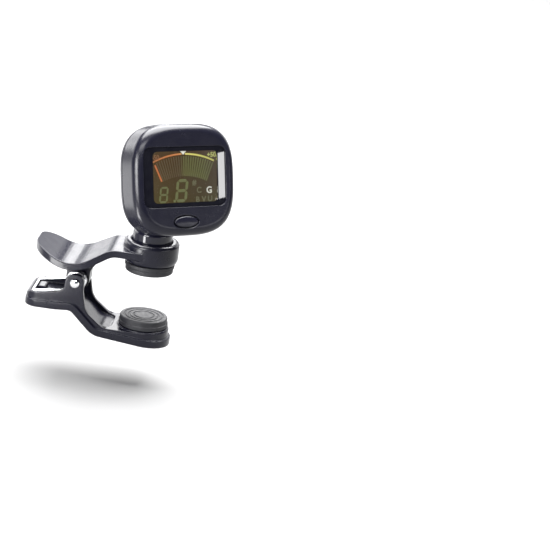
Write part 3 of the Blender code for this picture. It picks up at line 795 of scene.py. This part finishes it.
def make_rear_shell():
    """Back half of the casing, with hinge tongue, battery opening and screw bosses."""
    shell = head_solid("rear_shell", -HEAD_DEPTH, PARTING - 0.25, EDGE_RADIUS - 0.75, 0.2)
    cut(shell, loft("rear_hollow", [(head_outline(1.6), -HEAD_DEPTH + 1.4),
                                    (head_outline(1.6), 5)], FACE))
    rear = FACE_OUT - HEAD_DEPTH
    tongue = rounded([(-3.4, -3.4, 3.1), (-3.0, 2.6, 3.0), (-4.6, rear + 0.6, 0),
                      (4.6, rear + 0.6, 0), (3.0, 2.6, 3.0), (3.4, -3.4, 3.1)])
    join(shell, slab("hinge_tongue", tongue, -2.6, 2.6, TILT @ ACROSS, 0.3, 0.3, 4))
    opening = [(inset(circle(11.0), -0.3), -20), (inset(circle(11.0), -0.3), -12.0),
               (circle(11.0), -11.7), (circle(11.0), -5)]
    cut(shell, loft("battery_opening", opening, DOOR),
        slab("tongue_bore", circle(BORE_RADIUS, 40), -9, 9, TILT @ ACROSS))
    for u, v in SCREW_PLACES:
        place = FACE @ move(u, v, 0)
        join(shell, slab("boss", circle(2.3, 48), -HEAD_DEPTH + 0.4, -9.5, place))
        cut(shell, slab("screw_recess", circle(1.7, 48), -20, -10.9, place),
            slab("screw_hole", circle(1.05, 32), -20, -5, place))
    return place_piece(crisp(shell, 30), "satin_plastic", "head", "rear_shell")


def make_lens():
    """Black gloss border with its sides ground back, around the clear window."""
    outline = rectangle(LENS_HALF_WIDTH, LENS_HALF_HEIGHT, 2.2, WINDOW_V)
    border = slab("display_lens", outline, -0.8, 0, FACE)
    reach, flat = 15.5, 15.5 - FACET_WIDTH
    ground = [Vector(point) for point in ((-reach, -2.0), (reach, -2.0), (reach, -FACET_DROP),
                                          (flat, 0.0), (-flat, 0.0), (-reach, -FACET_DROP))]
    combine(border, "INTERSECT", slab("lens_blank", ground, -12, 12, FACE @ SIDE))
    window = rectangle(GLASS_HALF_WIDTH, GLASS_HALF_HEIGHT, 1.5, WINDOW_V)
    cut(border, slab("window", window, -5, 5, FACE))
    place_piece(crisp(border, 3), "lens", "head", "display_lens", look=PRINT)
    outline = rectangle(GLASS_HALF_WIDTH - 0.01, GLASS_HALF_HEIGHT - 0.01, 1.49, WINDOW_V)
    clear = slab("lens_window", outline, -0.8, -0.002, FACE)
    return place_piece(crisp(clear), "lens", "head", look=LENS)


def strokes(name, look, shapes):
    """Thin display segments: each shape is a list of corners in the face plane."""
    work = bmesh.new()
    for shape in shapes:
        low = [work.verts.new((u * MM, v * MM, (LCD_TOP + 0.01) * MM)) for u, v in shape]
        high = [work.verts.new((u * MM, v * MM, (LCD_TOP + 0.05) * MM)) for u, v in shape]
        for index in range(len(shape)):
            after = (index + 1) % len(shape)
            work.faces.new((low[index], low[after], high[after], high[index]))
        work.faces.new(low[::-1])
        work.faces.new(high)
    made = from_bmesh(name, work, FACE)
    return place_piece(made, "lcd", "head", look=look)


def polar(angle, radius):
    """Point of the meter scale; the angle is measured from straight up."""
    return ARC_U + radius * math.sin(angle), ARC_V + radius * math.cos(angle)


def arc(first, last, radius, width, steps=24):
    """Band of the meter scale between two angles."""
    angles = [math.radians(first + (last - first) * step / steps) for step in range(steps + 1)]
    return [[polar(angle, radius - width) for angle in angles]
            + [polar(angle, radius) for angle in reversed(angles)]]


def tick(angle, inner, outer, width):
    """Straight mark along a radius of the meter scale."""
    a = math.radians(angle)
    side = math.cos(a) * width / 2, -math.sin(a) * width / 2
    (x1, y1), (x2, y2) = polar(a, inner), polar(a, outer)
    return [(x1 - side[0], y1 - side[1]), (x1 + side[0], y1 + side[1]),
            (x2 + side[0], y2 + side[1]), (x2 - side[0], y2 - side[1])]


def segments(u, v, width, height, thick, lean=0.13):
    """Seven-segment figure with its lower left corner at (u, v)."""
    gap, half = thick * 0.12, thick / 2

    def bar(x1, y1, x2, y2):
        flat = y1 == y2
        along = (1, 0) if flat else (0, 1)
        across = (0, 1) if flat else (1, 0)
        points = []
        for ahead, aside in ((gap, 0), (gap + half, half), (-gap - half, half), (-gap, 0),
                             (-gap - half, -half), (gap + half, -half)):
            end_x, end_y = (x1, y1) if ahead > 0 else (x2, y2)
            x = end_x + along[0] * ahead + across[0] * aside
            y = end_y + along[1] * ahead + across[1] * aside
            points.append((u + x + y * lean, v + y))
        return points

    left, right, low, middle, high = half, width - half, half, height / 2, height - half
    return [bar(*ends) for ends in (
        (left, low, right, low), (left, middle, right, middle), (left, high, right, high),
        (left, low, left, middle), (left, middle, left, high), (right, low, right, middle),
        (right, middle, right, high))]


def lettering(name, items, look):
    """Generic scale figures and mode letters of the display."""
    pieces = []
    for text, u, v, size in items:
        curve = bpy.data.curves.new(name, "FONT")
        curve.body = text
        curve.size = size * MM
        curve.align_x = "CENTER"
        curve.align_y = "CENTER"
        curve.extrude = 0.02 * MM
        curve.offset = 0.06 * MM
        guide = bpy.data.objects.new(name, curve)
        guide.matrix_world = FACE @ move(u, v, LCD_TOP + 0.03)
        bpy.context.scene.collection.objects.link(guide)
        bpy.context.view_layer.update()
        mesh = bpy.data.meshes.new_from_object(
            guide.evaluated_get(bpy.context.evaluated_depsgraph_get()))
        mesh.transform(FACE.inverted() @ guide.matrix_world)
        bpy.data.objects.remove(guide)
        piece = bpy.data.objects.new(name, mesh)
        piece.matrix_world = FACE
        bpy.context.scene.collection.objects.link(piece)
        pieces.append(piece)
    bpy.context.view_layer.update()
    made = gather(*pieces) if len(pieces) > 1 else pieces[0]
    made.name = name
    return place_piece(made, "lcd", "head", look=look)


def make_display():
    """LCD cell and its marks: a meter scale, two figures and the mode letters."""
    glass = slab("lcd_glass", rectangle(13.0, 9.5, 0.3, WINDOW_V), -3.6, LCD_TOP, FACE)
    place_piece(crisp(glass), "lcd", "head", "lcd_glass")
    scale_fade = ((0.0, (0.42, 0.15, 0.05)), (0.25, (0.60, 0.20, 0.06)),
                  (0.44, (0.72, 0.26, 0.08)), (0.52, (0.80, 0.80, 0.20)),
                  (0.8, (0.62, 0.66, 0.16)), (1.0, (0.45, 0.50, 0.14)))
    strokes("lcd_scale", lit("lcd_scale", (0.7, 0.3, 0.1), scale_fade),
            arc(-24.5, -1.6, 27.25, 0.5) + arc(1.2, 24.5, 27.25, 0.55))
    strokes("lcd_marker", lit("lcd_white", (0.85, 0.85, 0.78)),
            [[(-0.75, 9.35), (0.45, 8.0), (1.7, 9.35)]])
    strokes("lcd_needle", lit("lcd_orange", (0.60, 0.17, 0.05)),
            [tick(-23.9, 20.1, 25.9, 0.5)])
    ghost_fade = ((0.0, (0.088, 0.055, 0.022)), (0.45, (0.080, 0.050, 0.019)),
                  (0.5, (0.110, 0.120, 0.028)), (0.8, (0.115, 0.130, 0.038)),
                  (1.0, (0.09, 0.098, 0.045)))
    strokes("lcd_ticks", lit("lcd_ticks", (0.1, 0.1, 0.05), ghost_fade),
            [tick(2 * step, 19.9, 26.3, 0.5 if step >= 0 else 0.42)
             for step in range(-11, 13)])
    strokes("lcd_figures", lit("lcd_ghost", (0.130, 0.148, 0.052)),
            segments(-8.85, -7.15, 3.1, 5.15, 0.62) + segments(-3.0, -7.1, 4.3, 7.35, 0.95)
            + [[(-3.5, -7.1), (-2.7, -7.1), (-2.7, -6.3), (-3.5, -6.3)]])
    lettering("lcd_low_figure", [("-50", -9.6, 7.35, 2.0)],
              lit("lcd_dull_orange", (0.22, 0.10, 0.045)))
    lettering("lcd_high_figure", [("+50", 10.9, 7.75, 2.1)],
              lit("lcd_yellow", (0.46, 0.50, 0.16)))
    lettering("lcd_ghost_letters", [("#", 4.3, -1.0, 2.5), ("C", 6.0, -3.5, 2.6),
                                    ("B", 5.4, -6.5, 2.5), ("V", 7.7, -6.5, 2.5),
                                    ("U", 10.0, -6.4, 2.5)],
              lit("lcd_ghost_letters", (0.12, 0.125, 0.065)))
    return lettering("lcd_mode_letter", [("G", 9.75, -3.6, 2.9)],
                     lit("lcd_pale", (0.72, 0.74, 0.66)))


def make_button():
    """Oval push button with a softly crowned top."""
    rings = [(superellipse(5.1, 2.6, 2.0, 96), -2.9), (superellipse(5.1, 2.6, 2.0, 96), -2.3),
             (superellipse(4.25, 1.78, 2.0, 96), -2.3)]
    for step in range(7):
        angle = math.pi / 2 * step / 6
        back = 0.45 * (1 - math.cos(angle))
        rings.append((superellipse(4.25 - back, 1.78 - back, 2.0, 96),
                      -0.2 + 0.35 * math.sin(angle)))
    for share, height in ((0.75, 0.2), (0.45, 0.26), (0.15, 0.29)):
        rings.append((superellipse(3.8 * share, 1.33 * share, 2.0, 96), height))
    button = loft("power_button", rings, BUTTON)
    return place_piece(button, "satin_plastic", "button", "power_button")


def make_battery_door():
    """Round door with a coin slot, a grip ring and two bayonet tabs."""
    outer = -HEAD_DEPTH
    profile = [(0, outer + 1.2), (10.7, outer + 1.2), (10.7, outer), (8.6, outer),
               (8.45, outer + 0.2), (8.25, outer + 0.2), (8.1, outer), (0, outer)]
    door = turned("battery_door", fillet(profile, 0.18, 4), DOOR, 128)
    slot_outline = rounded([(-4.5, -0.8, 0.75), (4.5, -0.8, 0.75), (4.5, 0.8, 0.75),
                            (-4.5, 0.8, 0.75)])
    wide = inset(slot_outline, -0.15)
    cut(door, loft("coin_slot", [(wide, -15), (wide, outer), (slot_outline, outer + 0.15),
                                 (slot_outline, outer + 0.6)], DOOR))
    tabs = []
    for side in (1, -1):
        low, high = sorted((side * 10.2, side * 11.7))
        outline = rounded([(low, -1.4, 0.2), (high, -1.4, 0.2), (high, 1.4, 0.2),
                           (low, 1.4, 0.2)])
        tabs.append(slab("door_tab", outline, -10.35, -9.75, DOOR))
        low, high = sorted((side * 10.2, side * 10.65))
        riser = rounded([(low, -1.4, 0.1), (high, -1.4, 0.1), (high, 1.4, 0.1),
                         (low, 1.4, 0.1)])
        tabs.append(slab("door_riser", riser, -11.2, -9.8, DOOR))
    return place_piece(crisp(gather(door, *tabs)), "satin_plastic", "door", "battery_door")


def make_screws():
    """Cross-recessed screws of the casing and the domed screw of the tilt hinge."""
    for number, (u, v) in enumerate(SCREW_PLACES, 1):
        place = FACE @ move(u, v, 0)
        profile = fillet([(0, -3.9), (0.5, -4.2), (0.8, -4.8), (0.8, -11.1), (1.4, -11.1),
                          (1.4, -11.6), (1.0, -11.95), (0, -11.95)], 0.12, 3)
        screw = turned("screw", profile, place, 48)
        for half_x, half_y in ((0.85, 0.17), (0.17, 0.85)):
            cut(screw, slab("cross", rectangle(half_x, half_y, 0.05), -13, -11.45, place))
        screw.name = f"shell_screw_{number}_head"
        place_piece(crisp(screw), "steel", "head", f"shell_screw_{number}")
    place = COLUMN @ move(0, 0, TILT_Z) @ ACROSS
    profile = fillet([(0, 7.4), (1.0, 7.4), (1.2, 7.2), (1.2, -5.7), (2.3, -5.7),
                      (2.3, -6.3), (1.5, -6.85), (0, -6.9)], 0.3)
    screw = turned("tilt_screw", profile, place, 64)
    cut(screw, slab("slot", rectangle(2.6, 0.25, 0.05), -8, -6.35, place))
    return place_piece(crisp(screw), "steel", "column", "tilt_screw")


NODE_SLOTS = {part["node"]: part["material_slot"] for part in frame["record"]["subparts"]}
make_upper_lever()
make_lower_lever()
make_pad("upper_pad", "clip_base", 1)
make_pad("lower_pad", "lower_jaw", -1)
make_pin()
make_clip_spring()
make_column()
make_front_shell()
make_rear_shell()
make_lens()
make_display()
make_button()
make_battery_door()
make_screws()

for name, node in frame["nodes"].items():
    if not node.hide_render:
        node.data.materials.clear()
        node.data.materials.append(SLOTS[NODE_SLOTS[name]])


# ---------------------------------------------------------------- stage
JAW_SWING = 0.014                 # metres that the jaw drops when it opens, clear of the floor
BEND_START, BEND_RADIUS = 1.2, 0.8
LAMPS = (                         # name, place, target, size in metres, power in watts
    ("overhead", (0.0, 0.30, 0.75), (0.0, 0.28, 0), (0.95, 1.0), 72),
    ("back_box", (-0.17, 1.1, 0.47), (0, 0, 0.05), (0.24, 0.62), 3.0),
    ("back_left", (-0.72, 0.95, 0.24), (0, 0, 0.03), (0.80, 0.44), 4.2),
    ("back_right", (0.48, 0.98, 0.28), (0, 0, 0.03), (0.82, 0.46), 2.9),
    ("left_box", (-0.28, -0.455, 0.14), (0, 0, 0.03), (0.26, 0.20), 4.6),
    ("front_top", (0.0, -0.50, 0.50), (0, 0, 0), (0.5, 0.14), 3.2),
    ("left_wall", (-0.90, 0.35, 0.28), (0, 0, 0.02), (0.6, 0.5), 4.5),
    ("right_wall", (0.92, -0.40, 0.07), (0, 0, 0.02), (0.5, 0.14), 1.1),
)


def area(name, place, target, size, power):
    light = bpy.data.lights.new(name, "AREA")
    light.shape = "RECTANGLE"
    light.size, light.size_y = size
    light.energy = power
    made = bpy.data.objects.new(name, light)
    made.visible_camera = False
    made.location = place
    made.rotation_euler = (Vector(target) - Vector(place)).to_track_quat("-Z", "Y").to_euler()
    bpy.context.scene.collection.objects.link(made)
    return made


def make_floor():
    """Pale paper floor that sweeps up behind the tuner."""
    ground = CAD_BOX[0].z - JAW_SWING
    profile = [(-3.0, 0.0), (BEND_START, 0.0)]
    for step in range(1, 16):
        angle = math.radians(6 * step)
        profile.append((BEND_START + BEND_RADIUS * math.sin(angle),
                        BEND_RADIUS * (1 - math.cos(angle))))
    profile.append((BEND_START + BEND_RADIUS, 3.0))
    work = bmesh.new()
    rows = [[work.verts.new((x, y, ground + z)) for x in (-4.0, 4.0)] for y, z in profile]
    for low, high in zip(rows, rows[1:]):
        work.faces.new((low[0], low[1], high[1], high[0]))
    floor = from_bmesh("floor", work, WORLD)
    paper = Look("paper", (0.15, 0.15, 0.15), 0.9)
    paper.colours(paper.noise(30.0, 3.0), (0.148, 0.148, 0.148), (0.152, 0.152, 0.152))
    floor.data.materials.append(paper.material)


def make_lights():
    """Soft studio boxes, two low panels beside the clip, and a dim world."""
    for lamp in LAMPS:
        area(*lamp)
    low = CAD_BOX[0].z + 0.004
    area("left_panel", (-0.215, 0.065, low), (-0.215, 0.065, 1), (0.25, 0.16), 0.32)
    strip = area("strip_panel", (-0.072, -0.085, low), (-0.072, -0.085, 1), (0.024, 0.10), 0.20)
    strip.rotation_euler.z = math.radians(-40)
    world = bpy.data.worlds.new("studio")
    world.use_nodes = True
    world.node_tree.nodes["Background"].inputs["Color"].default_value = (0.9, 0.92, 1, 1)
    world.node_tree.nodes["Background"].inputs["Strength"].default_value = 0.12
    bpy.context.scene.world = world
    bpy.context.scene.view_settings.view_transform = "Standard"


def make_lens_strip(camera):
    """Narrow light that the ground right side of the lens mirrors into the camera."""
    distance = 0.3
    spot = FACE @ Vector((13.3 * MM, 1.1 * MM, -0.15 * MM))
    facet = (N_AXIS * math.cos(FACET_ANGLE) + U_AXIS * math.sin(FACET_ANGLE)).normalized()
    back = (camera.location - spot).normalized()
    ray = 2 * back.dot(facet) * facet - back
    area("lens_strip", spot + ray * distance, spot, (0.02, 0.021), 0.02)


def make_camera():
    """Camera in front of the clip, looking down, with the tuner left of the middle."""
    heading, elevation, roll = math.radians(2.0), math.radians(18.02), math.radians(7.69)
    right = Vector((math.cos(heading), math.sin(heading), 0))
    ahead = Vector((-math.sin(heading) * math.cos(elevation),
                    math.cos(heading) * math.cos(elevation), -math.sin(elevation)))
    up = right.cross(ahead)
    x_axis = right * math.cos(roll) + up * math.sin(roll)
    y_axis = up * math.cos(roll) - right * math.sin(roll)
    data = bpy.data.cameras.new("camera")
    data.lens = 131.43
    data.sensor_width = 36.0
    data.clip_start, data.clip_end = 0.05, 20.0
    camera = bpy.data.objects.new("camera", data)
    camera.matrix_world = (Matrix.Translation((0.06356, -0.62922, 0.20948))
                           @ axes(x_axis, y_axis, -ahead))
    bpy.context.scene.collection.objects.link(camera)
    bpy.context.scene.camera = camera
    bpy.context.view_layer.update()
    return camera


make_floor()
make_lights()
make_lens_strip(make_camera())

bpy.context.view_layer.update()
